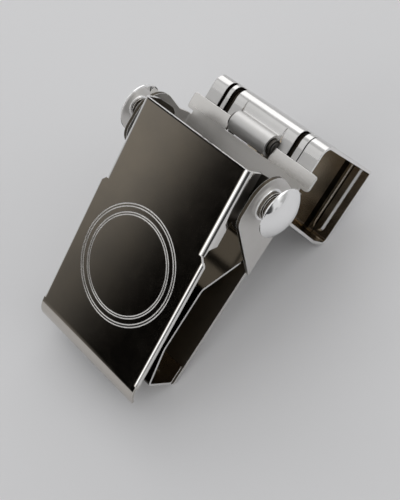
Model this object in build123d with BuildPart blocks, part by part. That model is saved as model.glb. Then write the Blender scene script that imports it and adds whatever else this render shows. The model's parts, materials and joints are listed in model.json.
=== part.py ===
from build123d import *
from math import acos, asin, atan2, cos, hypot, pi, radians, sin
import os

# Spring clip with a hinged belt hook, folded from plated sheet steel.  Millimetres.
#
# Side view coordinates: y runs backwards from the cover's top edge and z runs up along the
# back plate, both square to the plate.  x is the width, and the clip is symmetrical about x = 0.
# The finished clip leans: it stands on the plate's bottom edge and on the hook's rear corner.

# ---- driving dimensions ---------------------------------------------------------------------
clip_width = 40.0            # across the lower part of the back plate

plate_sheet = 1.0            # back plate and cheeks
plate_front = 23.0           # y of the back plate's front face
plate_bottom = -62.0         # z of the plate's lower edge
plate_top = 5.3              # z of the T-head's upper edge
head_width = 44.3            # T-head, over both wings
head_round = 0.9
head_bottom = 0.6            # z of the wings' lower edge
head_relief = 1.0            # gap between a wing and the cheek below it
foot_round = 1.0             # plate's lower corners

pivot_y = 10.2               # cover's pivot
pivot_z = -5.15
cheek_radius = 7.0           # round top of a cheek, about the pivot
cheek_bend = 1.6             # outside radius of the fold between plate and cheek
cheek_gap = 0.25             # between a cheek and the cover's ear
cheek_foot_drop = 20.0       # cheek's lowest point at the plate, below the pivot
cheek_chin_drop = 6.6        # cheek's front corner, below the pivot
cheek_chin_round = 5.0
cheek_shelf = 5.8            # plate's back to where the slope from the round top levels out
cheek_shelf_round = 3.0

cover_sheet = 0.8
cover_tilt = 6.7             # degrees between the cover and the back plate
cover_reach = 9.53           # pivot to the cover's front face
cover_rise = 6.31            # pivot to the cover's top edge
wall_length = 63.1           # top edge to where the bottom lip starts to curl
lip_width = 39.0
lip_bend = 6.5               # outside radius of the bottom lip
lip_turn = 50.0              # how far it curls, in degrees
fold_width = 37.2            # over the two side folds, which are the ears' outsides
fold_bend = 1.6              # outside radius of the side folds
fold_flat = 0.6              # flat edge of the wall beside a side fold
fold_length = 23.5           # top edge to the end of the side folds
flange_heel = (1.0, 21.3)    # flange's outline: back from the face, down from the top
flange_toe = (3.4, 20.5)
flange_knee = (3.4, 13.3)
fold_notch = 0.9             # inside rounding below the flange
ear_radius = 5.2
ear_top_run = 5.5            # straight top edge of an ear, from the front face
ear_collar = 0.7             # wall of the collar raised round an ear's hole
ear_collar_rise = 1.4        # its end beyond the ear's outside, towards the cheek
skirt_width = 39.6           # over the lower part, below the side folds
skirt_bend = 1.0             # outside radius of its turned edges
skirt_edge = 1.1             # front face to the end of a turned edge
skirt_shoulder = (18.0, 2.1)    # x where the slope beside a side fold starts, and its drop
skirt_corner = 0.9

ring_drop = 38.6             # engraved rings' centre, below the top edge
ring_radii = (15.8, 15.1, 13.6, 13.0)
ring_line = 0.26
ring_depth = 0.14

jaw_sheet = 0.7
jaw_gap = 0.65               # between a cheek and the jaw's side
jaw_front = 8.8              # y of the jaw's gripping face
jaw_ramp_top = -18.6         # z where the ramp leaves the plate
jaw_face_top = -31.6
jaw_face_bottom = -50.0
jaw_toe = (12.3, -61.8)      # foot of the slanted toe
jaw_tab = 6.0                # length of each riveted tab
jaw_bends = (1.0, 2.2, 8.0, 1.8, 1.1)
jaw_rivet_drop = 3.0         # rivets below the upper tab's end
jaw_rivet_rise = 4.5         # rivets above the lower tab's fold

rivet_spacing = 22.0
rivet_radius = 1.2
rivet_head = 2.1
rivet_head_height = 0.6
rivet_taper = 25

pin_radius = 1.5             # cross pin
pin_clearance = 0.05
pin_chamfer = 0.2
washer_radius = 4.4
washer_thickness = 0.7
washer_chamfer = 0.12
knob_collar_radius = 3.7
knob_collar = 0.6
knob_neck_radius = 2.9
knob_neck = 1.5
knob_radius = 6.75
knob_rim = 0.45
knob_rim_break = 0.15        # broken edge in front of the rim
knob_rim_round = (0.2, 0.35) # broken edge behind it: along the axis, and in radius
knob_underside = 1.35        # depth of the cone under the head
knob_dome = 2.4
knob_socket = 2.9            # pin's depth in the knob

wire = 0.7                   # cover springs
spring_coil_radius = 2.0
spring_pitch = 0.85
spring_turns = 5
spring_inset = 9.0           # end of an ear's collar to the leg anchored in the plate
spring_pressing_leg = 8.8
spring_leg_angle = 26.0      # between the pressing leg and the anchored leg, in turns' sense
spring_hole_clearance = 0.25

hinge_z = 4.9                # hook's hinge, in the middle of the plate's thickness
knuckle_radius = 3.1
knuckle_length = 13.0
knuckle_root = 0.75          # inside radius where the leaf turns into the roll
knuckle_gap = 0.25           # knuckle to the bracket's lugs, and to the notch below
lug_sheet = 0.7
lug_radius = 2.2
lug_gap = 0.35               # lug to the side of the notch
bracket_length = 8.0         # below the notch
bracket_flange = 2.4
bracket_step = 2.0           # bracket's foot to where its flanges start to narrow
bracket_bend = 0.9
lug_overlap = 1.0            # lugs run into the bracket
hinge_pin_radius = 1.2
hinge_pin_head = 0.25
hinge_pin_rim = 0.4          # head beyond the pin's radius
bush_length = 1.8
hook_wire = 0.5
hook_spring_pitch = 1.2
hook_spring_play = 0.4

hook_sheet = 0.8
hook_width = 38.8
hook_gap = 0.25              # hook's front leaf behind the plate
hook_top_front = 13.2        # z of the top leaf at the front
hook_back = 57.0             # y of the back leaf
hook_top_back = 11.3
hook_bottom = -13.4
hook_sole_run = 7.5          # back leaf to where the sole starts to rise
hook_lip_gap = 0.4           # plate to the sole's free end
hook_lip_z = -8.7
hook_bends = (3.2, 1.2, 2.1, 8.0)
groove_run = 6.0             # how far the grooves run back over the top
groove_depth = 1.1
groove_wall = 0.6
grooves = ((-14.3, 1.1), (-11.6, 1.9), (11.7, 1.5), (14.4, 0.3))    # centre and width
slit_top = 10.9              # wedge-shaped slits above the bracket's lugs
slit_top_width = 0.15
slit_foot_widths = (0.7, 1.1)    # left and right
roll_slit = 0.35             # knuckle's roll to the leaf
rib_centre = 15.2            # pressed ribs of the back leaf
rib_width = 3.6
rib_height = 0.7
rib_taper = 35
rib_wall = 0.5
rib_foot_margin = 2.4        # rib's round end above the sole
rib_head_margin = 0.5        # rib's square end below the top leaf's outside

# ---- sizes that follow ----------------------------------------------------------------------
plate_back = plate_front + plate_sheet
collar_end = fold_width / 2 + ear_collar_rise
cheek_inside = collar_end + cheek_gap
cheek_outside = cheek_inside + plate_sheet
hinge_y = plate_front + plate_sheet / 2
notch_half = knuckle_length / 2 + knuckle_gap + lug_sheet + lug_gap
notch_bottom = hinge_z - knuckle_radius - knuckle_gap
hook_front = plate_back + hook_gap
hook_lip = (plate_back + hook_lip_gap, hook_lip_z)
hook_sole_front = hook_back - hook_sole_run
knuckle_bore = knuckle_radius - hook_sheet
jaw_width = 2 * (cheek_inside - jaw_gap)
spring_inner_end = collar_end - spring_inset
knob_start = cheek_outside + washer_thickness
pin_half = knob_start + knob_socket

# The floor line runs from the plate's rear bottom corner to the round rear corner of the hook.
rear_bend = hook_bends[2]
rear_corner_y = hook_back - rear_bend
rear_corner_z = hook_bottom + rear_bend
floor_run = hypot(rear_corner_y - plate_back, rear_corner_z - plate_bottom)
floor_angle = (
    atan2(rear_corner_z - plate_bottom, rear_corner_y - plate_back)
    - asin(rear_bend / floor_run)
)


def stand(y, z):
    """Distance along the floor and height above it, from the plate's bottom corner."""
    dy = y - plate_back
    dz = z - plate_bottom
    along = dy * cos(floor_angle) + dz * sin(floor_angle)
    above = -dy * sin(floor_angle) + dz * cos(floor_angle)
    return along, above


def cover_point(back, up):
    """Side view coordinates of a point given from the pivot in the cover's own directions."""
    tilt = radians(cover_tilt)
    y = pivot_y + back * cos(tilt) - up * sin(tilt)
    z = pivot_z + back * sin(tilt) + up * cos(tilt)
    return y, z


# The clip is centred between the cover's lip in front and the hook's top corner behind.
lip_centre = cover_point(lip_bend - cover_reach, cover_rise - wall_length)
front_end = stand(*lip_centre)[0] - lip_bend
top_corner = hook_bends[1]
rear_end = stand(hook_back - top_corner, hook_top_back - top_corner)[0] + top_corner
middle = (front_end + rear_end) / 2


def side_plane(y, z, tilt=0.0):
    """Side view plane through a point: its x runs backwards, its y up, its normal along +X."""
    along, above = stand(y, z)
    lean = floor_angle - radians(tilt)
    return Plane(
        origin=(0, along - middle, above),
        x_dir=(0, cos(lean), -sin(lean)),
        z_dir=(1, 0, 0),
    )


def across(side, height):
    """Plane square to the sheet's length at a height: its x along +X, its y backwards."""
    return Plane(origin=side.from_local_coords((0, height, 0)), x_dir=(1, 0, 0), z_dir=side.y_dir)


def facing(side, depth):
    """Plane facing the front at a depth: its x along +X, its y up."""
    return Plane(origin=side.from_local_coords((depth, 0, 0)), x_dir=(1, 0, 0), z_dir=-side.x_dir)


def tangent_point(y, z, radius, turn):
    """Where a line from (y, z) touches the circle about the origin, on the side named by turn."""
    reach = hypot(y, z)
    angle = atan2(z, y) + turn * acos(radius / reach)
    return radius * cos(angle), radius * sin(angle)


frame_side = side_plane(0, 0)
pivot_side = side_plane(pivot_y, pivot_z)
cover_side = side_plane(pivot_y, pivot_z, cover_tilt)
hinge_side = side_plane(hinge_y, hinge_z)
pivot_axis = Axis(pivot_side.origin, (1, 0, 0))
jaw_rivet_heights = (jaw_ramp_top + jaw_rivet_drop, jaw_toe[1] + jaw_rivet_rise)

os.makedirs("parts", exist_ok=True)


def save(part, label):
    part.label = label
    export_step(part, "parts/" + label + ".step")


# ---- back plate: web, T-head and two cheeks folded forward -------------------------------------
cheek_front = pivot_y - cheek_radius
cheek_foot = pivot_z - cheek_foot_drop
shelf_y = plate_back - cheek_shelf
shelf_z = head_bottom - head_relief
shoulder = tangent_point(shelf_y - pivot_y, shelf_z - pivot_z, cheek_radius, 1)
fold_start = cheek_outside - cheek_bend
relief_width = head_width / 2 - fold_start
relief_x = (head_width / 2 + fold_start) / 2
spring_hole_z = pivot_z - spring_coil_radius
leg_drift = spring_pitch / (2 * pi * spring_coil_radius)
anchor_run = plate_back - pivot_y

with BuildPart() as back_plate:
    # Channel section: web and both cheeks, with real folds.
    with BuildSketch(across(frame_side, cheek_foot - plate_sheet)):
        with BuildLine():
            FilletPolyline(
                (-cheek_outside, cheek_front - plate_sheet),
                (-cheek_outside, plate_back),
                (cheek_outside, plate_back),
                (cheek_outside, cheek_front - plate_sheet),
                radius=cheek_bend,
            )
            offset(amount=plate_sheet, side=Side.RIGHT)
        make_face()
    extrude(amount=2 * cheek_radius - cheek_foot)
    # Cheek outline: round top about the pivot, slanted lower edge down to the plate.
    with BuildSketch(frame_side.offset(-head_width)):
        with BuildLine():
            FilletPolyline(
                (cheek_front, pivot_z),
                (cheek_front, pivot_z - cheek_chin_drop),
                (plate_front, cheek_foot),
                (plate_back, cheek_foot),
                (plate_back, shelf_z),
                (shelf_y, shelf_z),
                (pivot_y + shoulder[0], pivot_z + shoulder[1]),
                radius=[cheek_chin_round, 0, 0, 0, cheek_shelf_round],
            )
            ThreePointArc(
                (pivot_y + shoulder[0], pivot_z + shoulder[1]),
                (pivot_y, pivot_z + cheek_radius),
                (cheek_front, pivot_z),
            )
        make_face()
    extrude(amount=2 * head_width, mode=Mode.INTERSECT)
    # Flat blank: web up to the head, wider lower part, wings.
    with BuildSketch(facing(frame_side, plate_front)) as blank:
        with Locations((0, (plate_bottom + plate_top) / 2)):
            Rectangle(2 * fold_start, plate_top - plate_bottom)
        with Locations((0, (plate_bottom + cheek_foot) / 2)):
            Rectangle(clip_width, cheek_foot - plate_bottom)
        with Locations((0, (head_bottom + plate_top) / 2)):
            Rectangle(head_width, plate_top - head_bottom)
        fillet(blank.vertices().group_by(Axis.Y)[0], radius=foot_round)
        head = blank.vertices().filter_by_position(
            Axis.Y, head_bottom - head_relief / 2, plate_top + head_relief / 2
        )
        wing_tips = head.group_by(Axis.X)[0] + head.group_by(Axis.X)[-1]
        fillet(wing_tips, radius=min(head_round, 0.9 * relief_width))
    extrude(amount=-plate_sheet)
    # Relief between the wings and the folds, notch for the hook's knuckle.
    with BuildSketch(facing(frame_side, plate_front)):
        with Locations((-relief_x, head_bottom - head_relief / 2), (relief_x, head_bottom - head_relief / 2)):
            Rectangle(relief_width, head_relief)
        with Locations((0, plate_top)):
            Rectangle(2 * notch_half, 2 * (plate_top - notch_bottom))
    extrude(amount=-plate_sheet, mode=Mode.SUBTRACT)
    # Holes: cross pin, jaw rivets, anchored spring legs.
    with BuildSketch(pivot_side.offset(-head_width)):
        Circle(pin_radius)
    extrude(amount=2 * head_width, mode=Mode.SUBTRACT)
    with BuildSketch(facing(frame_side, plate_front)):
        for tab_z in jaw_rivet_heights:
            with GridLocations(rivet_spacing, 1, 2, 1):
                with Locations((0, tab_z)):
                    Circle(rivet_radius)
        leg_x = spring_inner_end - anchor_run * leg_drift
        with Locations((-leg_x, spring_hole_z), (leg_x, spring_hole_z)):
            Circle(wire / 2 + spring_hole_clearance)
    extrude(amount=-plate_sheet, mode=Mode.SUBTRACT)
save(back_plate.part, "back_plate")

# ---- jaw: a strip bent into a box and riveted to the plate by a tab at each end ------------------
with BuildPart() as jaw_box:
    with BuildSketch(frame_side.offset(-jaw_width / 2)):
        with BuildLine():
            FilletPolyline(
                (plate_front - jaw_sheet, jaw_ramp_top + jaw_tab),
                (plate_front - jaw_sheet, jaw_ramp_top),
                (jaw_front, jaw_face_top),
                (jaw_front, jaw_face_bottom),
                jaw_toe,
                (plate_front, jaw_toe[1]),
                (plate_front, jaw_toe[1] + jaw_tab),
                radius=jaw_bends,
            )
            offset(amount=jaw_sheet, side=Side.LEFT)
        make_face()
    extrude(amount=jaw_width)
    with BuildSketch(facing(frame_side, plate_front)):
        for tab_z in jaw_rivet_heights:
            with GridLocations(rivet_spacing, 1, 2, 1):
                with Locations((0, tab_z)):
                    Circle(rivet_radius)
    extrude(amount=jaw_sheet, mode=Mode.SUBTRACT)
save(jaw_box.part, "jaw_box")

# ---- jaw rivets: one group of four ------------------------------------------------------------
with BuildPart() as jaw_rivets:
    for tab_z in jaw_rivet_heights:
        for x in (-rivet_spacing / 2, rivet_spacing / 2):
            with BuildSketch(facing(frame_side, plate_front - jaw_sheet)):
                with Locations((x, tab_z)):
                    Circle(rivet_head)
            extrude(amount=rivet_head_height, taper=rivet_taper)
            with BuildSketch(facing(frame_side, plate_front - jaw_sheet)):
                with Locations((x, tab_z)):
                    Circle(rivet_radius)
            extrude(amount=-(jaw_sheet + plate_sheet))
save(jaw_rivets.part, "jaw_rivets")

# ---- front cover: lever with two ears, a skirt with turned edges and a bottom lip -----------------
face = -cover_reach
top = cover_rise
skirt_top = top - fold_length
wall_foot = top - wall_length
wall_half = fold_width / 2 - fold_bend - fold_flat
heel = (face + flange_heel[0], top - flange_heel[1])
toe = (face + flange_toe[0], top - flange_toe[1])
knee = (face + flange_knee[0], top - flange_knee[1])
ear_low = tangent_point(*knee, ear_radius, 1)
ear_brow = (face + ear_top_run, top)
ear_high = tangent_point(*ear_brow, ear_radius, -1)
ear_hole = pin_radius + pin_clearance
shoulder_foot = skirt_top - skirt_shoulder[1]

with BuildPart() as front_cover:
    # Side folds and flanges.
    for side, inward in ((-1, Side.LEFT), (1, Side.RIGHT)):
        with BuildSketch(across(cover_side, skirt_top)):
            with BuildLine():
                FilletPolyline(
                    (side * fold_width / 2, ear_radius),
                    (side * fold_width / 2, face),
                    (side * wall_half, face),
                    radius=fold_bend,
                )
                offset(amount=cover_sheet, side=inward)
            make_face()
        extrude(amount=fold_length)
    # Outline of the flanges and the ears around the pivot.
    with BuildSketch(cover_side.offset(-clip_width)):
        Circle(ear_radius)
        with BuildLine():
            outline = FilletPolyline(
                (0, 0),
                ear_high,
                ear_brow,
                (face, top),
                (face, skirt_top),
                (face + cover_sheet, skirt_top),
                heel,
                toe,
                knee,
                ear_low,
                radius=(0, 0, 0, 0, 0, fold_notch, 0, 0),
            )
            Line(outline @ 1, outline @ 0)
        make_face()
    extrude(amount=2 * clip_width, mode=Mode.INTERSECT)
    # Collars raised outward round the ears' holes, up to the cheeks.
    for side in (-1, 1):
        with BuildSketch(cover_side.offset(side * (fold_width / 2 - cover_sheet))):
            Circle(ear_hole + ear_collar)
        extrude(amount=side * (cover_sheet + ear_collar_rise))
    # Flat front wall between the folds.
    with BuildSketch(facing(cover_side, face)):
        with Locations((0, (top + wall_foot) / 2)):
            Rectangle(2 * wall_half, top - wall_foot)
    extrude(amount=-cover_sheet)
    # Skirt with turned edges, its shoulders sloping away from the side folds.
    with BuildSketch(across(cover_side, wall_foot)):
        with BuildLine():
            FilletPolyline(
                (-skirt_width / 2, face + skirt_edge),
                (-skirt_width / 2, face),
                (skirt_width / 2, face),
                (skirt_width / 2, face + skirt_edge),
                radius=skirt_bend,
            )
            offset(amount=cover_sheet, side=Side.LEFT)
        make_face()
    extrude(amount=skirt_top - wall_foot)
    with BuildSketch(facing(cover_side, face)):
        for side in (-1, 1):
            with BuildLine():
                slope = FilletPolyline(
                    (side * skirt_shoulder[0], skirt_top),
                    (side * skirt_width / 2, shoulder_foot),
                    (side * skirt_width / 2, shoulder_foot - 2 * skirt_corner),
                    radius=skirt_corner,
                )
                Polyline(
                    slope @ 1,
                    (side * clip_width, shoulder_foot - 2 * skirt_corner),
                    (side * clip_width, skirt_top),
                    slope @ 0,
                )
            make_face()
    extrude(amount=-2 * skirt_edge, mode=Mode.SUBTRACT)
    # Bottom lip.
    with BuildSketch(cover_side.offset(-lip_width / 2)):
        with BuildLine():
            Line((face, wall_foot + cover_sheet), (face, wall_foot))
            JernArc(start=(face, wall_foot), tangent=(0, -1), radius=lip_bend, arc_size=lip_turn)
            offset(amount=cover_sheet, side=Side.LEFT)
        make_face()
    extrude(amount=lip_width)
    # Pivot holes.
    with BuildSketch(cover_side.offset(-clip_width)):
        Circle(ear_hole)
    extrude(amount=2 * clip_width, mode=Mode.SUBTRACT)
    # Engraved rings.
    with BuildSketch(facing(cover_side, face)):
        with Locations((0, top - ring_drop)):
            for radius in ring_radii:
                Circle(radius)
                Circle(radius - ring_line, mode=Mode.SUBTRACT)
    extrude(amount=-ring_depth, mode=Mode.SUBTRACT)
save(front_cover.part, "front_cover")

# ---- cross pin, washers and knobs --------------------------------------------------------------
with BuildPart() as cross_pin:
    with BuildSketch(pivot_side.offset(-pin_half)):
        Circle(pin_radius)
    extrude(amount=2 * pin_half)
    chamfer(cross_pin.edges(), length=pin_chamfer)
save(cross_pin.part, "cross_pin")

head_start = knob_start + knob_collar + knob_neck
rim_start = head_start + knob_underside
rim_end = rim_start + knob_rim
dome_foot = knob_radius - knob_rim_break
dome_radius = (dome_foot ** 2 + knob_dome ** 2) / (2 * knob_dome)
dome_centre = rim_end + knob_dome - dome_radius
for side_name, side in (("left", -1), ("right", 1)):
    with BuildPart() as washer:
        with BuildSketch(pivot_side.offset(side * cheek_outside)):
            Circle(washer_radius)
            Circle(pin_radius, mode=Mode.SUBTRACT)
        extrude(amount=side * washer_thickness)
        rim = washer.edges().filter_by(GeomType.CIRCLE).sort_by(SortBy.RADIUS)[-2:]
        chamfer(rim, length=washer_chamfer)
    save(washer.part, "knob_washer_" + side_name)

    with BuildPart() as knob:
        with BuildSketch(across(pivot_side, 0)):
            with BuildLine():
                Polyline(
                    (side * rim_end, dome_foot),
                    (side * (rim_end - knob_rim_break), knob_radius),
                    (side * rim_start, knob_radius),
                    (side * (rim_start - knob_rim_round[0]), knob_radius - knob_rim_round[1]),
                    (side * head_start, knob_neck_radius),
                    (side * (knob_start + knob_collar), knob_neck_radius),
                    (side * (knob_start + knob_collar), knob_collar_radius),
                    (side * knob_start, knob_collar_radius),
                    (side * knob_start, 0),
                    (side * (rim_end + knob_dome), 0),
                )
                dome_middle = Vector(rim_end + knob_dome - dome_centre, dome_foot).normalized()
                ThreePointArc(
                    (side * (rim_end + knob_dome), 0),
                    (side * (dome_centre + dome_radius * dome_middle.X), dome_radius * dome_middle.Y),
                    (side * rim_end, dome_foot),
                )
            make_face()
        revolve(axis=pivot_axis)
        with BuildSketch(pivot_side.offset(side * knob_start)):
            Circle(pin_radius)
        extrude(amount=side * knob_socket, mode=Mode.SUBTRACT)
    save(knob.part, "knob_" + side_name)

# ---- cover springs: torsion coils on the cross pin ----------------------------------------------
# Each coil starts at its underside, where the leg runs straight back into its hole in the plate,
# and ends in the leg that presses forward on the cover, above the pivot.
def coil_on(plane, pitch, height, radius, lefthand=False):
    """Helix about the plane's normal, from its x direction."""
    return plane.location * Helix(pitch, height, radius, lefthand=lefthand)


for side_name, side in (("left", -1), ("right", 1)):
    turns = spring_turns + spring_leg_angle / 360
    coil_plane = Plane(
        origin=pivot_side.from_local_coords((0, 0, side * spring_inner_end)),
        x_dir=-pivot_side.y_dir,
        z_dir=(side, 0, 0),
    )
    coil = coil_on(coil_plane, spring_pitch, spring_pitch * turns, spring_coil_radius, side > 0)
    with BuildPart() as cover_spring:
        with BuildLine() as coil_path:
            add(coil)
            Line(coil @ 0 - (coil % 0) * anchor_run, coil @ 0)
            Line(coil @ 1, coil @ 1 + (coil % 1) * spring_pressing_leg)
        with BuildSketch(Plane(origin=coil @ 0 - (coil % 0) * anchor_run, z_dir=coil % 0)):
            Circle(wire / 2)
        sweep(path=coil_path.line)
    save(cover_spring.part, "cover_spring_" + side_name)

# ---- hinge bracket behind the notch, with a lug on each side of the knuckle ----------------------
lug_inside = knuckle_length / 2 + knuckle_gap
lug_outside = lug_inside + lug_sheet
bracket_top = notch_bottom - hinge_z
bracket_low = bracket_top - bracket_length
bracket_face = plate_back - hinge_y
lug_root = (bracket_face + bracket_flange, bracket_low + bracket_step)
lug_tangent = tangent_point(*lug_root, lug_radius, 1)

with BuildPart() as hinge_bracket:
    with BuildSketch(across(hinge_side, bracket_low)):
        with BuildLine():
            FilletPolyline(
                (-lug_outside, bracket_face + bracket_flange + lug_radius),
                (-lug_outside, bracket_face),
                (lug_outside, bracket_face),
                (lug_outside, bracket_face + bracket_flange + lug_radius),
                radius=bracket_bend,
            )
            offset(amount=lug_sheet, side=Side.LEFT)
        make_face()
    extrude(amount=bracket_top - bracket_low - knuckle_gap)
    with BuildSketch(hinge_side.offset(-clip_width)):
        with BuildLine():
            Polyline(
                (bracket_face, bracket_top),
                (bracket_face, bracket_low),
                (bracket_face + bracket_flange, bracket_low),
                lug_root,
                (lug_root[0], bracket_top),
                close=True,
            )
        make_face()
    extrude(amount=2 * clip_width, mode=Mode.INTERSECT)
    for side in (-1, 1):
        with BuildSketch(hinge_side.offset(side * lug_inside)):
            Circle(lug_radius)
            with BuildLine():
                Polyline(
                    (bracket_face, 0),
                    (bracket_face, bracket_top - lug_overlap),
                    (lug_root[0], bracket_top - lug_overlap),
                    lug_tangent,
                    close=True,
                )
            make_face()
        extrude(amount=side * lug_sheet)
    with BuildSketch(hinge_side.offset(-clip_width)):
        Circle(hinge_pin_radius)
    extrude(amount=2 * clip_width, mode=Mode.SUBTRACT)
save(hinge_bracket.part, "hinge_bracket")

with BuildPart() as hinge_pin:
    with BuildSketch(hinge_side.offset(-lug_outside)):
        Circle(hinge_pin_radius)
    extrude(amount=2 * lug_outside)
    for side in (-1, 1):
        with BuildSketch(hinge_side.offset(side * lug_outside)):
            Circle(hinge_pin_radius + hinge_pin_rim)
        extrude(amount=side * hinge_pin_head)
save(hinge_pin.part, "hinge_pin")

for side_name, side in (("left", -1), ("right", 1)):
    with BuildPart() as bush:
        with BuildSketch(hinge_side.offset(side * knuckle_length / 2)):
            Circle(knuckle_bore)
            Circle(hinge_pin_radius + pin_clearance, mode=Mode.SUBTRACT)
        extrude(amount=-side * bush_length)
    save(bush.part, "hinge_bush_" + side_name)

coil_run = knuckle_length - 2 * bush_length - hook_wire - hook_spring_play
coil_radius = (hinge_pin_radius + knuckle_bore) / 2
coil_plane = Plane(
    origin=hinge_side.from_local_coords((0, 0, -coil_run / 2)),
    x_dir=hinge_side.x_dir,
    z_dir=(1, 0, 0),
)
coil = coil_on(coil_plane, hook_spring_pitch, coil_run, coil_radius)
with BuildPart() as hook_spring:
    with BuildLine() as coil_path:
        add(coil)
    with BuildSketch(Plane(origin=coil @ 0, z_dir=coil % 0)):
        Circle(hook_wire / 2)
    sweep(path=coil_path.line)
save(hook_spring.part, "hook_spring")

# ---- belt hook: a strip bent round into an open loop, its tongue rolled into the knuckle ----------
rib_foot = hook_bottom + rib_foot_margin
rib_head = hook_top_back - rib_head_margin
rib_round = rib_foot + rib_width / 2
groove_end = hook_front + groove_run
top_slope = (hook_top_back - hook_top_front) / (hook_back - hook_front)
leaf_y = hook_front - hinge_y
leaf_inside = leaf_y + hook_sheet
leaf_z = (knuckle_radius ** 2 - leaf_inside ** 2) ** 0.5
slit_x = (lug_inside + lug_outside) / 2

with BuildPart() as belt_hook:
    with BuildSketch(frame_side.offset(-hook_width / 2)):
        with BuildLine():
            FilletPolyline(
                (hook_front, hinge_z),
                (hook_front, hook_top_front),
                (hook_back, hook_top_back),
                (hook_back, hook_bottom),
                (hook_sole_front, hook_bottom),
                hook_lip,
                radius=hook_bends,
            )
            offset(amount=hook_sheet, side=Side.RIGHT)
        make_face()
    extrude(amount=hook_width)
    # Pressed grooves over the front bend: each a channel standing inward, then hollowed.
    for x, width in grooves:
        for depth, breadth, mode in (
            (groove_depth + hook_sheet, width + 2 * groove_wall, Mode.ADD),
            (groove_depth, width, Mode.SUBTRACT),
        ):
            with BuildSketch(frame_side.offset(x - breadth / 2)):
                with BuildLine():
                    FilletPolyline(
                        (hook_front, hinge_z),
                        (hook_front, hook_top_front),
                        (groove_end, hook_top_front + groove_run * top_slope),
                        radius=hook_bends[0],
                    )
                    offset(amount=depth, side=Side.RIGHT)
                make_face()
            extrude(amount=breadth, mode=mode)
    # Room for the rolled tongue and the bracket's lugs, and a slit above each lug.
    with BuildSketch(facing(frame_side, hook_front)):
        with Locations((0, hinge_z)):
            Rectangle(2 * notch_half, 2 * (lug_radius + knuckle_gap))
        for x, foot in zip((-slit_x, slit_x), slit_foot_widths):
            with BuildLine():
                Polyline(
                    (x - slit_top_width / 2, slit_top),
                    (x + slit_top_width / 2, slit_top),
                    (x + foot / 2, hinge_z),
                    (x - foot / 2, hinge_z),
                    close=True,
                )
            make_face()
    extrude(amount=-hook_bends[0], mode=Mode.SUBTRACT)
    # Knuckle: rolled forward from the leaf, with the roll's free end just behind the leaf.
    with BuildSketch(hinge_side.offset(-knuckle_length / 2)) as roll:
        Circle(knuckle_radius)
        with Locations(((leaf_y + leaf_inside) / 2, leaf_z)):
            Rectangle(hook_sheet, 4 * knuckle_root)
        fillet(roll.vertices().sort_by_distance((leaf_y, leaf_z, 0))[0], radius=knuckle_root)
        Circle(knuckle_bore, mode=Mode.SUBTRACT)
        with Locations((leaf_inside + roll_slit / 2, knuckle_radius)):
            Rectangle(roll_slit, knuckle_radius, mode=Mode.SUBTRACT)
    extrude(amount=knuckle_length)
    # Pressed ribs of the back leaf, hollow from behind.
    for x in (-rib_centre, rib_centre):
        with BuildSketch(facing(frame_side, hook_back - hook_sheet)):
            with Locations((x, (rib_round + rib_head) / 2)):
                Rectangle(rib_width, rib_head - rib_round)
            with Locations((x, rib_round)):
                Circle(rib_width / 2)
        extrude(amount=rib_height, taper=rib_taper)
        with BuildSketch(facing(frame_side, hook_back)):
            with Locations((x, (rib_foot + rib_head) / 2)):
                SlotOverall(rib_head - rib_foot - 2 * rib_width, rib_width - 2 * rib_wall, rotation=90)
        extrude(amount=rib_height, taper=rib_taper, mode=Mode.SUBTRACT)
save(belt_hook.part, "belt_hook")
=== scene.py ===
import json
from math import cos, radians, sin

import bpy
from mathutils import Matrix, Vector

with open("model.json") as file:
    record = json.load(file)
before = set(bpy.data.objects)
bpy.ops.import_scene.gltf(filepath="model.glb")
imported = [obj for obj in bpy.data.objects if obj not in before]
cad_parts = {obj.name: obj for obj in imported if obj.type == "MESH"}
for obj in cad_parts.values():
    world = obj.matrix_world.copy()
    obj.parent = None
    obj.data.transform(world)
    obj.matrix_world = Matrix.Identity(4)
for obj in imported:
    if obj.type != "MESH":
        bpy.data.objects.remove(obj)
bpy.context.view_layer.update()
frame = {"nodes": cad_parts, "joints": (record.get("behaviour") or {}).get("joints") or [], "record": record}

# Plated finishes, floor, light and camera for the folded spring clip with a belt hook.
MM = 0.001

# ---- places, from the frame's two joints and the plate's back face --------------------------------
joints = {joint["name"]: joint for joint in frame["joints"]}
mounts = {mount["name"]: mount for mount in frame["record"]["mounts"]}
pivot = Vector(joints["cover_pivot"]["pos_m"])
hinge = Vector(joints["hook_hinge"]["pos_m"])

COVER_TILT = radians(6.7)         # between the cover and the back plate

# Each sheet's own directions: widthways is along both pins.
widthways = Vector((1, 0, 0))
plate_back = Vector(mounts["back_face"]["axis"])
plate_up = widthways.cross(plate_back)
cover_back = plate_back * cos(COVER_TILT) + plate_up * sin(COVER_TILT)
cover_up = widthways.cross(cover_back)

CHEEK_INSIDE = 20.1 * MM          # the clip's middle to just inside a cheek
HEAD_FOOT = 4.5 * MM              # pivot up to where the T-head's finish has ended
HEAD_FADE = 3.0 * MM              # over which it ends
SHEARED_REACH = 7.0 * MM          # how far behind the pivot the cheeks' cut edges are painted dark as shade

COVER_TOP = 6.31 * MM             # pivot up to the cover's top edge
COVER_REACH = 9.53 * MM           # pivot to the cover's front face
BRIGHT_SIDE = 4.6 * MM            # how far back from its face the cover's sides are painted bright as highlights
RING_DROP = 32.3 * MM             # pivot down to the centre of the engraved rings
RING_EDGE = 17.0 * MM             # radius within which the engraving lies
LIP_DROP = 54.5 * MM              # pivot down to where the bottom lip's painted highlight turns a dimmer grey

HOOK_FRONT = 0.75 * MM            # hinge to the outside of the hook's front leaf
HOOK_TOP = 8.3 * MM               # hinge up to the outside of the hook's top leaf, at its front
HOOK_TOP_FALL = 0.058             # how much the top leaf falls towards the back
HOOK_BEND = 3.2 * MM              # outside radius between the front and the top leaf
GROOVES = ((-14.3, 1.1), (-11.6, 1.9), (11.7, 1.5), (14.4, 0.3))   # centre and width, mm

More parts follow.
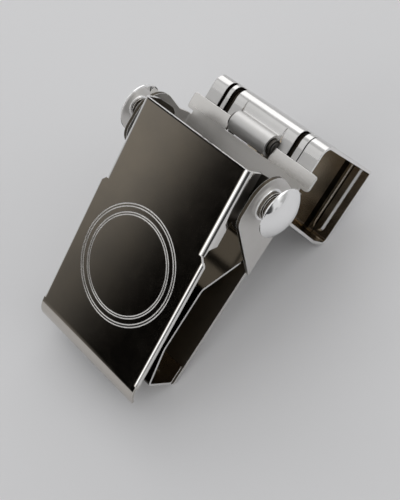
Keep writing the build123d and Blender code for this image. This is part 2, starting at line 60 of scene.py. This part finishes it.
KNUCKLE_REACH = 3.4 * MM          # just outside the hook's roll, from the hinge
NECK_REACH = 3.7 * MM             # the knobs' collars and necks, from the pivot
NECK_END = 24.0 * MM              # the clip's middle to where a knob's cone starts

loop_centre = hinge + plate_back * 17.0 * MM - plate_up * 5.0 * MM
jaw_centre = pivot + plate_back * 5.0 * MM - plate_up * 38.0 * MM
cheeks_centre = pivot + plate_back * 4.0 * MM - plate_up * 16.0 * MM
ring_centre = pivot - cover_back * COVER_REACH - cover_up * RING_DROP


# ---- node helpers --------------------------------------------------------------------------------
class Shader:
    """A node tree with short calls for the nodes that the materials share."""

    def __init__(self, tree):
        self.tree = tree
        self.coordinates = None

    def add(self, kind, **values):
        node = self.tree.nodes.new(kind)
        for name, value in values.items():
            setattr(node, name, value)
        return node

    def feed(self, socket, source):
        """Link a socket or set its value."""
        if isinstance(source, bpy.types.NodeSocket):
            self.tree.links.new(source, socket)
        else:
            socket.default_value = source

    def feed_all(self, node, **sources):
        """Feed inputs by name, with _ for each space."""
        for name, source in sources.items():
            self.feed(node.inputs[name.replace("_", " ")], source)

    def place(self, output="Object"):
        if self.coordinates is None:
            self.coordinates = self.add("ShaderNodeTexCoord")
        return self.coordinates.outputs[output]

    def math(self, operation, a, b=0.0, c=0.0):
        node = self.add("ShaderNodeMath", operation=operation)
        for socket, source in zip(node.inputs, (a, b, c)):
            self.feed(socket, source)
        return node.outputs[0]

    def times(self, first, *others):
        """The product of several values."""
        for other in others:
            first = self.math("MULTIPLY", first, other)
        return first

    def rest(self, share):
        """What a share leaves of 1."""
        return self.math("SUBTRACT", 1.0, share)

    def vector(self, operation, a, b=(0, 0, 0)):
        node = self.add("ShaderNodeVectorMath", operation=operation)
        self.feed(node.inputs[0], a)
        self.feed(node.inputs[1], b)
        return node.outputs["Value" if operation in ("DOT_PRODUCT", "LENGTH") else "Vector"]

    def along(self, direction, origin=(0, 0, 0)):
        """Distance in metres along a direction from an origin."""
        offset = self.vector("SUBTRACT", self.place(), tuple(origin))
        return self.vector("DOT_PRODUCT", offset, tuple(direction))

    def from_axis(self, origin):
        """Distance in metres from the widthways line through an origin."""
        offset = self.vector("SUBTRACT", self.place(), tuple(origin))
        return self.vector("LENGTH", self.vector("MULTIPLY", offset, (0, 1, 1)))

    def from_middle(self):
        """Distance in metres from the clip's middle, to either side."""
        return self.math("ABSOLUTE", self.along(widthways))

    def facing(self, direction):
        """How squarely the surface faces a direction, from -1 to 1."""
        return self.vector("DOT_PRODUCT", self.place("Normal"), tuple(direction))

    def facing_side(self):
        """How squarely the surface faces either side, from 0 to 1."""
        return self.math("ABSOLUTE", self.facing(widthways))

    def facing_point(self, point, low, high):
        """1 on the surfaces that face a point."""
        towards = self.vector("NORMALIZE", self.vector("SUBTRACT", tuple(point), self.place()))
        return self.ramp(self.vector("DOT_PRODUCT", towards, self.place("Normal")), low, high)

    def ramp(self, value, low, high, start=0.0, end=1.0):
        """Smooth change from start to end as the value goes from low to high."""
        node = self.add("ShaderNodeMapRange", interpolation_type="SMOOTHSTEP")
        self.feed_all(node, Value=value, From_Min=low, From_Max=high, To_Min=start, To_Max=end)
        return node.outputs["Result"]

    def band(self, value, rise, fall):
        """1 between a rise and a fall, each given by its low and its high end."""
        return self.times(self.ramp(value, *rise), self.ramp(value, *reversed(fall)))

    def noise(self, scale, detail=2.0, roughness=0.5, stretch=None, distortion=0.0):
        """Noise with about this many cells per metre; stretch scales X, Y and Z."""
        node = self.add("ShaderNodeTexNoise")
        place = self.place()
        if stretch is not None:
            place = self.vector("MULTIPLY", place, stretch)
        self.feed_all(
            node, Vector=place, Scale=scale, Detail=detail, Roughness=roughness, Distortion=distortion
        )
        return node.outputs["Fac"]

    def mix(self, share, a, b):
        node = self.add("ShaderNodeMix", data_type="RGBA")
        for socket, source in zip((node.inputs[0], node.inputs[6], node.inputs[7]), (share, a, b)):
            self.feed(socket, source)
        return node.outputs[2]

    def edge(self, radius):
        """The normal rounded over sharp edges, and a mask that is 1 on them."""
        bevel = self.add("ShaderNodeBevel", samples=6)
        self.feed(bevel.inputs["Radius"], radius)
        flat = self.add("ShaderNodeNewGeometry")
        turned = self.vector("DOT_PRODUCT", bevel.outputs[0], flat.outputs["Normal"])
        return bevel.outputs[0], self.ramp(turned, 0.995, 0.90)

    def bump(self, height, distance, normal):
        node = self.add("ShaderNodeBump")
        self.feed_all(node, Strength=1.0, Distance=distance, Height=height, Normal=normal)
        return node.outputs[0]


def grey(level, warmth=0.0):
    """A grey, warmer where warmth is above 0."""
    return (level * (1 + warmth), level, level * (1 - 1.3 * warmth), 1.0)


def new_material(name):
    """A material with an empty metal surface, and the shader that feeds it."""
    material = bpy.data.materials.new(name)
    material.use_nodes = True
    material.node_tree.nodes.clear()
    shader = Shader(material.node_tree)
    output = shader.add("ShaderNodeOutputMaterial")
    surface = shader.add("ShaderNodeBsdfPrincipled")
    surface.inputs["Metallic"].default_value = 1.0
    shader.feed(output.inputs["Surface"], surface.outputs[0])
    return material, shader, surface


# ---- places on the clip that a finish treats differently -----------------------------------------
def inside_hook(shader):
    """1 on the faces that look into the belt loop, which are painted a darker, warmer tone as shade."""
    return shader.facing_point(loop_centre, 0.1, 0.35)


def inside_jaw(shader):
    """1 on the faces that look into the box of the jaw, which are painted a warmer tone as shade."""
    return shader.facing_point(jaw_centre, 0.1, 0.3)


def facing_cover(shader):
    """1 on the faces of the jaw that look at the inside of the cover, which are painted black as shade."""
    forwards = shader.ramp(shader.facing(-cover_back), 0.3, 0.45)
    return shader.times(forwards, shader.rest(inside_jaw(shader)))


def below_head(shader):
    """1 on the plate below its head."""
    return shader.ramp(shader.along(plate_up, pivot), HEAD_FOOT + HEAD_FADE, HEAD_FOOT)


def shaded_cheeks(shader):
    """1 on the inside of the cheeks, from 8 mm below the pivot down, and on their sheared edges: painted
    near black as shade.
    """
    inside = shader.times(
        shader.facing_point(cheeks_centre, 0.05, 0.2),
        shader.ramp(shader.along(plate_up, pivot), -6.0 * MM, -8.0 * MM),
    )
    sheared = shader.times(
        shader.ramp(shader.facing_side(), 0.4, 0.2),
        shader.ramp(shader.from_middle(), CHEEK_INSIDE - 0.3 * MM, CHEEK_INSIDE),
        shader.ramp(shader.along(plate_back, pivot), SHEARED_REACH + 2.0 * MM, SHEARED_REACH),
    )
    return shader.math("MAXIMUM", inside, sheared)


def on_knuckle(shader):
    """Past 1 on the roll that turns on the hinge pin, the softest gloss of all."""
    return shader.ramp(shader.from_axis(hinge), KNUCKLE_REACH + 0.6 * MM, KNUCKLE_REACH, 0.0, 1.3)


def in_grooves(shader):
    """1 down in the grooves pressed into the hook's top bend, which are painted black as shade."""
    behind = shader.along(plate_back, hinge + plate_back * HOOK_FRONT)
    above = shader.along(plate_up, hinge + plate_up * HOOK_TOP)
    below = shader.math("SUBTRACT", 0.0, shader.math("MULTIPLY_ADD", behind, HOOK_TOP_FALL, above))
    # Depth below the bend's outside: how far the distance to its centre falls short of its radius.
    short = [
        shader.math("POWER", shader.math("MAXIMUM", shader.math("SUBTRACT", HOOK_BEND, run), 0.0), 2.0)
        for run in (behind, below)
    ]
    depth = shader.math("SUBTRACT", HOOK_BEND, shader.math("SQRT", shader.math("ADD", *short)))
    sideways = shader.along(widthways)
    share = 0.0
    for centre, width in GROOVES:
        off = shader.math("ABSOLUTE", shader.math("SUBTRACT", sideways, centre * MM))
        groove = shader.ramp(off, (width / 2 + 0.12) * MM, (width / 2 + 0.02) * MM)
        share = shader.math("ADD", share, groove)
    return shader.times(share, shader.ramp(depth, 0.08 * MM, 0.3 * MM))


def round_neck(shader):
    """Nearly 1 on the knobs' necks and on the middle of the washers beside them, which are painted dark as
    shade.
    """
    return shader.times(
        shader.ramp(shader.from_axis(pivot), NECK_REACH + 0.2 * MM, NECK_REACH, 0.0, 0.95),
        shader.ramp(shader.from_middle(), NECK_END + 0.4 * MM, NECK_END),
    )


# ---- finishes ------------------------------------------------------------------------------------
def plated(
    name, level, warmth, rough, edge_level, grain_depth=0.001, wavy=0.0,
    painted_shade=None, painted_shade_level=0.2, painted_black=None, matt=None, trimmed=False
):
    """Nickel or chrome plate: cloudy tone, fine polishing lines, smudges and painted highlights on edges.

    The mask functions give: the surfaces painted a darker, warmer tone as shade; those painted
    black as shade; and those with a softer gloss.  Where the plate is trimmed, the sheet's
    cut sides are painted as bright as its edges, as highlights, down to the black.  Depths are in mm."""
    material, shader, surface = new_material(name)
    normal, edge = shader.edge(0.22 * MM)
    cloud = shader.noise(110, detail=4, roughness=0.6)
    smudge = shader.noise(260, detail=5, roughness=0.65, distortion=0.6)
    lines = shader.noise(1, detail=3, roughness=0.7, stretch=(900, 9000, 9000))
    grain = shader.noise(5200, detail=2)
    colour = shader.mix(
        shader.ramp(cloud, 0.2, 0.8), grey(level * 0.97, warmth * 1.3), grey(level * 1.03, warmth)
    )
    roughness = shader.ramp(smudge, 0.3, 0.8, rough, rough * 1.2 + 0.01)
    # Painted shade: a darker, warmer tone on the masked surfaces, where little light reaches.
    if painted_shade is not None:
        share = painted_shade(shader)
        blotches = shader.ramp(shader.noise(90, detail=3, roughness=0.5), 0.2, 0.8)
        shade_tone = shader.mix(blotches, grey(painted_shade_level * 0.9, 0.20), grey(painted_shade_level * 1.15, 0.16))
        colour = shader.mix(share, colour, shade_tone)
        roughness = shader.math("MULTIPLY_ADD", share, 0.03, roughness)
    if matt is not None:
        roughness = shader.math("MULTIPLY_ADD", matt(shader), 0.22, roughness)
    # Painted shade: the masked surfaces are painted near black, with no edge highlight.
    black = 0.0
    if painted_black is not None:
        black = painted_black(shader)
        colour = shader.mix(black, colour, grey(0.028, 0.2))
        edge = shader.times(edge, shader.rest(black))
    # Painted highlight: the rounded edges, and the cut sides where trimmed, are painted bright.
    edge_highlight = shader.times(edge, shader.ramp(shader.noise(900, detail=3), 0.25, 0.55, 0.45, 1.0))
    if trimmed:
        cut = shader.times(shader.ramp(shader.facing_side(), 0.9, 0.97), shader.rest(black))
        edge_highlight = shader.math("MAXIMUM", edge_highlight, cut)
    height = shader.math("ADD", shader.times(lines, 0.6), shader.times(grain, 0.4))
    if wavy:
        normal = shader.bump(shader.noise(130, detail=1), wavy * MM, normal)
    shader.feed_all(
        surface,
        Base_Color=shader.mix(edge_highlight, colour, grey(edge_level, 0.01)),
        Roughness=roughness,
        Normal=shader.bump(height, grain_depth * MM, normal),
    )
    return material


def black_nickel(name):
    """The cover: near black mirror on its flat front, painted dark olive inside as shade, and painted
    bright as highlights on its folds and edges; its engraving is bright."""
    material, shader, surface = new_material(name)
    from_rings = shader.vector("LENGTH", shader.vector("SUBTRACT", shader.place(), tuple(ring_centre)))
    normal, edge = shader.edge(
        shader.ramp(from_rings, RING_EDGE, RING_EDGE + 1.0 * MM, 0.10 * MM, 0.2 * MM)
    )
    height = shader.along(cover_up, pivot)
    depth = shader.along(-cover_back, pivot)
    facing = shader.facing(-cover_back)

    # Where the dark front, the inside painted dark as shade and its lighter top, the lip and the engraving
    # are.
    front = shader.times(
        shader.ramp(facing, 0.985, 0.998),
        shader.ramp(depth, COVER_REACH - 0.09 * MM, COVER_REACH - 0.05 * MM),
    )
    flattened = shader.vector("MULTIPLY", shader.place(), (0, 1, 1))
    inwards = shader.vector("NORMALIZE", shader.vector("SUBTRACT", flattened, shader.place()))
    sideways = shader.vector("DOT_PRODUCT", inwards, shader.place("Normal"))
    back = shader.ramp(facing, -0.3, -0.6)
    ears = shader.ramp(depth, COVER_REACH - BRIGHT_SIDE, COVER_REACH - BRIGHT_SIDE - 0.5 * MM)
    hidden = shader.math(
        "MAXIMUM", shader.math("MAXIMUM", shader.ramp(sideways, 0.3, 0.6), back), ears
    )
    mouth = shader.times(back, shader.ramp(height, -24 * MM, -12 * MM))
    lip = shader.ramp(height, -LIP_DROP, -LIP_DROP - 2.0 * MM)
    engraved = shader.times(
        shader.ramp(from_rings, RING_EDGE + 0.5 * MM, RING_EDGE),
        shader.ramp(facing, 0.9, 0.99),
        shader.rest(front),
    )

    cloud = shader.ramp(shader.noise(70, detail=4, roughness=0.6), 0.3, 0.7)
    smudge = shader.noise(190, detail=5, roughness=0.65, distortion=0.8)
    lines = shader.noise(1, detail=3, roughness=0.75, stretch=(9000, 700, 700))
    # Painted reflection: a near black line along the front, just under the top edge.
    under_edge = shader.ramp(height, COVER_TOP - 0.55 * MM, COVER_TOP - 0.35 * MM)
    dark = shader.mix(cloud, grey(0.175, 0.13), grey(0.195, 0.15))
    dark = shader.mix(under_edge, dark, grey(0.015))
    # Painted highlight: the folds, sides and lip are painted bright, the lip a dimmer grey.
    bright = shader.mix(cloud, grey(0.76, 0.02), grey(0.82, 0.01))
    bright = shader.mix(lip, bright, grey(0.52, 0.06))
    # Painted shade: the inside and the ears are painted dark olive, the inside's top a lighter grey.
    olive = shader.mix(cloud, grey(0.07, 0.16), grey(0.10, 0.12))
    olive = shader.mix(mouth, olive, grey(0.55, 0.04))
    colour = shader.mix(
        shader.math("MAXIMUM", front, hidden), bright, shader.mix(hidden, dark, olive)
    )
    # Painted highlight on the rounded edges.
    edge_highlight = shader.times(edge, shader.ramp(shader.noise(700, detail=3), 0.25, 0.55, 0.5, 1.0))
    gloss = shader.math(
        "ADD", shader.ramp(smudge, 0.35, 0.8, 0.07, 0.10), shader.ramp(lines, 0.35, 0.7, 0.0, 0.02)
    )
    shader.feed_all(
        surface,
        Base_Color=shader.mix(edge_highlight, colour, grey(0.85, 0.01)),
        Roughness=shader.math("MULTIPLY_ADD", engraved, 0.3, gloss),
        Normal=shader.bump(lines, 0.001 * MM, normal),
    )
    return material


def spring_steel(name, level, rough):
    """Drawn wire: bright, with darker and rougher specks."""
    material, shader, surface = new_material(name)
    specks = shader.noise(2500, detail=3, roughness=0.7)
    normal = shader.edge(0.08 * MM)[0]
    shader.feed_all(
        surface,
        Base_Color=shader.mix(
            shader.ramp(specks, 0.35, 0.7), grey(level * 0.6, 0.1), grey(level, 0.02)
        ),
        Roughness=shader.ramp(specks, 0.3, 0.7, rough * 1.5, rough),
        Normal=shader.bump(specks, 0.004 * MM, normal),
    )
    return material


def brass(name):
    """Brass painted dark as shade, lighter on its edges as a painted highlight."""
    material, shader, surface = new_material(name)
    cloud = shader.noise(900, detail=4, roughness=0.6)
    colour = shader.mix(shader.ramp(cloud, 0.3, 0.7), (0.07, 0.05, 0.03, 1), (0.12, 0.09, 0.05, 1))
    normal, edge = shader.edge(0.1 * MM)
    shader.feed_all(
        surface,
        Base_Color=shader.mix(edge, colour, (0.24, 0.19, 0.12, 1)),
        Roughness=shader.ramp(cloud, 0.3, 0.7, 0.4, 0.25),
        Normal=shader.bump(cloud, 0.004 * MM, normal),
    )
    return material


# Painted shade: near black inside the cheeks and on their sheared edges.
satin_plate = plated(
    "plate_satin_nickel", level=0.66, warmth=0.02, rough=0.22, edge_level=0.9, wavy=0.05,
    painted_shade=shaded_cheeks, painted_shade_level=0.06, matt=below_head
)
# Painted shade: darker and warmer inside the loop, near black in the grooves; edges and cut sides painted
# bright as highlights.
bright_hook = plated(
    "hook_bright_nickel", level=0.62, warmth=0.01, rough=0.17, edge_level=0.9, wavy=0.06,
    painted_shade=inside_hook, painted_shade_level=0.36, painted_black=in_grooves, matt=on_knuckle, trimmed=True
)
# Painted shade: a dimmer nickel than the plate, warmer inside the box, and black where it faces the cover.
bright_jaw = plated(
    "jaw_bright_nickel", level=0.45, warmth=0.05, rough=0.12, edge_level=0.85, wavy=0.015,
    painted_shade=inside_jaw, painted_shade_level=0.5, painted_black=facing_cover, trimmed=True
)
polished = plated(
    "knob_polished_chrome", level=0.84, warmth=0.0, rough=0.04, edge_level=0.9, grain_depth=0.0002
)
# Painted shade: the knobs' necks and the washers' middles are painted dark.
neck = plated(
    "knob_shadowed_chrome", level=0.95, warmth=0.0, rough=0.04, edge_level=0.95, grain_depth=0.0002,
    painted_shade=round_neck, painted_shade_level=0.10
)
# Painted shade: the hinge bracket and pin are painted near black.
shaded_hinge_steel = plated("hinge_steel_painted_shade", level=0.07, warmth=0.08, rough=0.3, edge_level=0.2)
cover = black_nickel("cover_black_nickel")
wire = spring_steel("spring_wire", level=0.5, rough=0.28)
# Painted shade: the bushes are painted dark.
bush = brass("bush_dark_brass")

finishes = {
    "back_plate": satin_plate,
    "jaw_box": bright_jaw,
    "jaw_rivets": satin_plate,
    "front_cover": cover,
    "cross_pin": polished,
    "knob_left": neck,
    "knob_right": neck,
    "knob_washer_left": neck,
    "knob_washer_right": neck,
    "cover_spring_left": wire,
    "cover_spring_right": wire,
    "hinge_bracket": shaded_hinge_steel,
    "hinge_pin": shaded_hinge_steel,
    "hinge_bush_left": bush,
    "hinge_bush_right": bush,
    "hook_spring": wire,
    "belt_hook": bright_hook,
}
for node, material in finishes.items():
    slots = frame["nodes"][node].data.materials
    if len(slots) == 0:
        slots.append(material)
    for index in range(len(slots)):
        slots[index] = material

# ---- floor ---------------------------------------------------------------------------------------
FLOOR_HALF = 3.0
floor_corners = [
    (x * FLOOR_HALF, y * FLOOR_HALF, 0) for x, y in ((-1, -1), (1, -1), (1, 1), (-1, 1))
]
floor_mesh = bpy.data.meshes.new("floor")
floor_mesh.from_pydata(floor_corners, [], [(0, 1, 2, 3)])
floor = bpy.data.objects.new("floor", floor_mesh)
bpy.context.scene.collection.objects.link(floor)
floor_material = bpy.data.materials.new("floor_pale")
floor_material.use_nodes = True
floor_surface = floor_material.node_tree.nodes["Principled BSDF"]
floor_surface.inputs["Base Color"].default_value = (0.72, 0.72, 0.73, 1)
floor_surface.inputs["Roughness"].default_value = 0.9
floor_mesh.materials.append(floor_material)

# ---- light ---------------------------------------------------------------------------------------
ROOM_RIGHT = (0.849, -0.432, 0.305)     # directions in the room around the clip
ROOM_FRONT = (-0.50, -0.866, 0.0)
ROOM_UP = (0, 0, 1)
BACKDROP = (0.67, 0.67, 0.68, 1)        # what the camera sees of it

world = bpy.data.worlds.new("studio")
bpy.context.scene.world = world
world.use_nodes = True
world.node_tree.nodes.clear()
room = Shader(world.node_tree)
out = room.add("ShaderNodeOutputWorld")
background = room.add("ShaderNodeBackground")
room.feed(out.inputs["Surface"], background.outputs[0])
ray = room.place("Generated")
rightwards = room.vector("DOT_PRODUCT", ray, ROOM_RIGHT)
forwards = room.vector("DOT_PRODUCT", ray, ROOM_FRONT)
height = room.vector("DOT_PRODUCT", ray, ROOM_UP)

# Soft uneven light, brighter overhead.
drift = room.add("ShaderNodeTexNoise")
room.feed_all(drift, Vector=ray, Scale=3.2, Detail=1.0, Roughness=0.4)
light = room.times(
    room.ramp(height, 0.15, 0.90, 0.55, 0.78),
    room.ramp(drift.outputs["Fac"], 0.36, 0.64, 0.72, 1.18),
)
# A dark upright panel in front, low down, then a light strip and a dark corner to its right.
panel = room.times(
    room.band(rightwards, (-0.11, 0.05), (0.11, 0.16)),
    room.ramp(height, 0.55, 0.49),
    room.ramp(forwards, 0.2, 0.4),
)
strip = room.times(
    room.band(rightwards, (0.13, 0.19), (0.66, 0.80)),
    room.band(height, (0.10, 0.30), (0.58, 0.66)),
)
corner = room.ramp(rightwards, 0.87, 0.95)
light = room.times(light, room.ramp(panel, 0.0, 1.0, 1.0, 0.01))
light = room.math("MULTIPLY_ADD", strip, 0.75, light)
light = room.times(light, room.ramp(corner, 0.0, 1.0, 1.0, 0.08))
path = room.add("ShaderNodeLightPath")
room.feed(background.inputs["Color"], room.mix(path.outputs["Is Camera Ray"], light, BACKDROP))

lamp_data = bpy.data.lights.new("softbox", "AREA")
lamp_data.shape = "RECTANGLE"
lamp_data.size = 0.9
lamp_data.size_y = 0.7
lamp_data.energy = 1.9
lamp = bpy.data.objects.new("softbox", lamp_data)
lamp.location = (-0.50, 0.60, 0.50)
lamp.rotation_euler = (-lamp.location).to_track_quat("-Z", "Y").to_euler()
bpy.context.scene.collection.objects.link(lamp)

# ---- camera --------------------------------------------------------------------------------------
AIM = pivot + Vector((6.23, -12.765, -21.537)) * MM    # what it looks at
DISTANCE = 222.4 * MM             # from there to the lens
AZIMUTH = radians(61.61)          # from straight in front, towards the clip's right
ELEVATION = radians(56.92)
ROLL = radians(-17.15)
LENS = 61.2                       # focal length and sensor's width, mm
SENSOR_WIDTH = 36

toward = Vector(
    (cos(ELEVATION) * sin(AZIMUTH), -cos(ELEVATION) * cos(AZIMUTH), sin(ELEVATION))
)
level_right = Vector((cos(AZIMUTH), sin(AZIMUTH), 0))
level_up = toward.cross(level_right)
right = level_right * cos(ROLL) + level_up * sin(ROLL)
up = toward.cross(right)
camera_data = bpy.data.cameras.new("camera")
camera_data.lens = LENS
camera_data.sensor_width = SENSOR_WIDTH
camera_data.clip_start = 0.01
camera = bpy.data.objects.new("camera", camera_data)
turn = Matrix((right, up, toward)).transposed().to_4x4()
camera.matrix_world = Matrix.Translation(AIM + toward * DISTANCE) @ turn
bpy.context.scene.collection.objects.link(camera)
bpy.context.scene.camera = camera

bpy.context.scene.view_settings.view_transform = "Standard"
